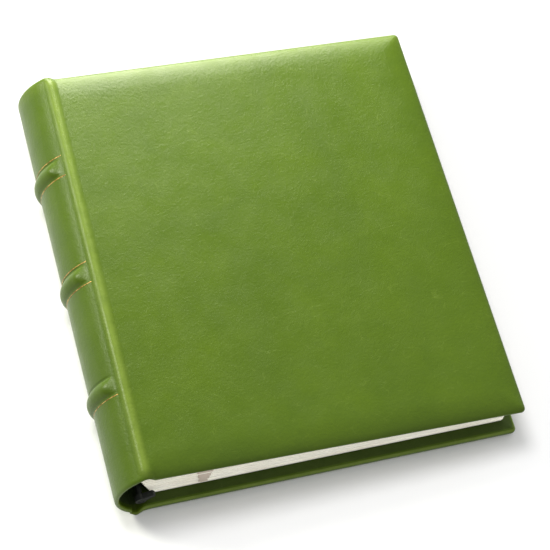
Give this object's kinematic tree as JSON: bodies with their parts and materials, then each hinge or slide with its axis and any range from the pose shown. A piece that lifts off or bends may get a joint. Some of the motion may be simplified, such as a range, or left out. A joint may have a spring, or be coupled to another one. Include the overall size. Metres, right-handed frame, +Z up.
{
  "type": "stamp album",
  "caption": "Padded leather stamp album with a rounded spine, raised bands, a ring mechanism that rocks open and stock leaves with clear strips.",
  "frame": {"origin": "middle of the shut album's box, on the surface it lies on", "axes": "+X from the spine to the fore-edge, +Y from tail to head, +Z up through the shut album"},
  "size_m": [0.2773, 0.3, 0.0574],
  "materials": {
    "green_leather": "satin, fine grain",
    "dark_lining": "matt",
    "wadding": "soft",
    "board": "matt",
    "gold_foil": "foil",
    "clear_film": "clear",
    "linen": "matt",
    "leaf_card": "matt",
    "dark_steel": "satin black",
    "rivet_steel": "brushed",
    "bright_steel": "polished"
  },
  "bodies": {
    "back_cover": {"back_leather": "green_leather", "back_wadding": "wadding", "back_board": "board", "back_lining": "dark_lining", "back_joint_leather": "green_leather", "base_plate": "dark_steel", "plate_rivets": "rivet_steel", "post_1": "bright_steel", "post_2": "bright_steel", "post_3": "bright_steel", "shaft_brackets": "dark_steel", "lower_leaves": "leaf_card", "lower_strips": "clear_film", "lower_linen_hinges": "linen", "leaf_stub_1": "leaf_card", "leaf_stub_2": "leaf_card", "leaf_stub_3": "leaf_card", "leaf_stub_4": "leaf_card", "leaf_stub_5": "leaf_card", "linen_hinge_1": "linen", "linen_hinge_2": "linen", "linen_hinge_3": "linen", "linen_hinge_4": "linen", "linen_hinge_5": "linen"},
    "spine": {"spine_leather": "green_leather", "spine_board": "board", "spine_lining": "dark_lining", "raised_band_1": "green_leather", "raised_band_2": "green_leather", "raised_band_3": "green_leather", "gold_rules": "gold_foil", "front_joint_leather": "green_leather"},
    "front_cover": {"front_leather": "green_leather", "front_wadding": "wadding", "front_board": "board", "front_lining": "dark_lining"},
    "rocker": {"rocker_shaft": "bright_steel", "arch_1": "bright_steel", "arch_2": "bright_steel", "arch_3": "bright_steel", "thumb_lever_tail": "dark_steel", "thumb_lever_head": "dark_steel"},
    "leaf_1": {"leaf_1": "leaf_card", "leaf_strips_1": "clear_film"},
    "leaf_2": {"leaf_2": "leaf_card", "leaf_strips_2": "clear_film"},
    "leaf_3": {"leaf_3": "leaf_card", "leaf_strips_3": "clear_film"},
    "leaf_4": {"leaf_4": "leaf_card", "leaf_strips_4": "clear_film"},
    "leaf_5": {"leaf_5": "leaf_card", "leaf_strips_5": "clear_film"}
  },
  "joints": [
    {"name": "spine_hinge", "type": "hinge", "parent": "back_cover", "child": "spine", "pos_m": [-0.12175, 0, 0.0006], "axis": [0, -1, 0], "range_deg": [0, 30], "deforming": ["back_joint_leather"]},
    {"name": "front_hinge", "type": "hinge", "parent": "spine", "child": "front_cover", "pos_m": [-0.11635, 0, 0.056], "axis": [0, -1, 0], "range_deg": [0, 163], "deforming": ["front_joint_leather"]},
    {"name": "ring_rocker", "type": "hinge", "parent": "back_cover", "child": "rocker", "pos_m": [-0.11835, 0, 0.0125], "axis": [0, -1, 0], "range_deg": [0, 12]},
    {"name": "leaf_1_turn", "type": "hinge", "parent": "back_cover", "child": "leaf_1", "pos_m": [-0.07635, 0, 0.0348], "axis": [0, -1, 0], "range_deg": [0, 140], "deforming": ["linen_hinge_1"]},
    {"name": "leaf_2_turn", "type": "hinge", "parent": "back_cover", "child": "leaf_2", "pos_m": [-0.07635, 0, 0.03343], "axis": [0, -1, 0], "range_deg": [0, 104], "deforming": ["linen_hinge_2"]},
    {"name": "leaf_3_turn", "type": "hinge", "parent": "back_cover", "child": "leaf_3", "pos_m": [-0.07635, 0, 0.03206], "axis": [0, -1, 0], "range_deg": [0, 72], "deforming": ["linen_hinge_3"]},
    {"name": "leaf_4_turn", "type": "hinge", "parent": "back_cover", "child": "leaf_4", "pos_m": [-0.07635, 0, 0.03069], "axis": [0, -1, 0], "range_deg": [0, 44], "deforming": ["linen_hinge_4"]},
    {"name": "leaf_5_turn", "type": "hinge", "parent": "back_cover", "child": "leaf_5", "pos_m": [-0.07635, 0, 0.02932], "axis": [0, -1, 0], "range_deg": [0, 20], "deforming": ["linen_hinge_5"]}
  ],
  "couplings": [
    {"joint": "leaf_1_turn", "follows": "front_hinge", "ratio": 0.8588},
    {"joint": "leaf_2_turn", "follows": "front_hinge", "ratio": 0.638},
    {"joint": "leaf_3_turn", "follows": "front_hinge", "ratio": 0.4417},
    {"joint": "leaf_4_turn", "follows": "front_hinge", "ratio": 0.2699},
    {"joint": "leaf_5_turn", "follows": "front_hinge", "ratio": 0.1226}
  ]
}
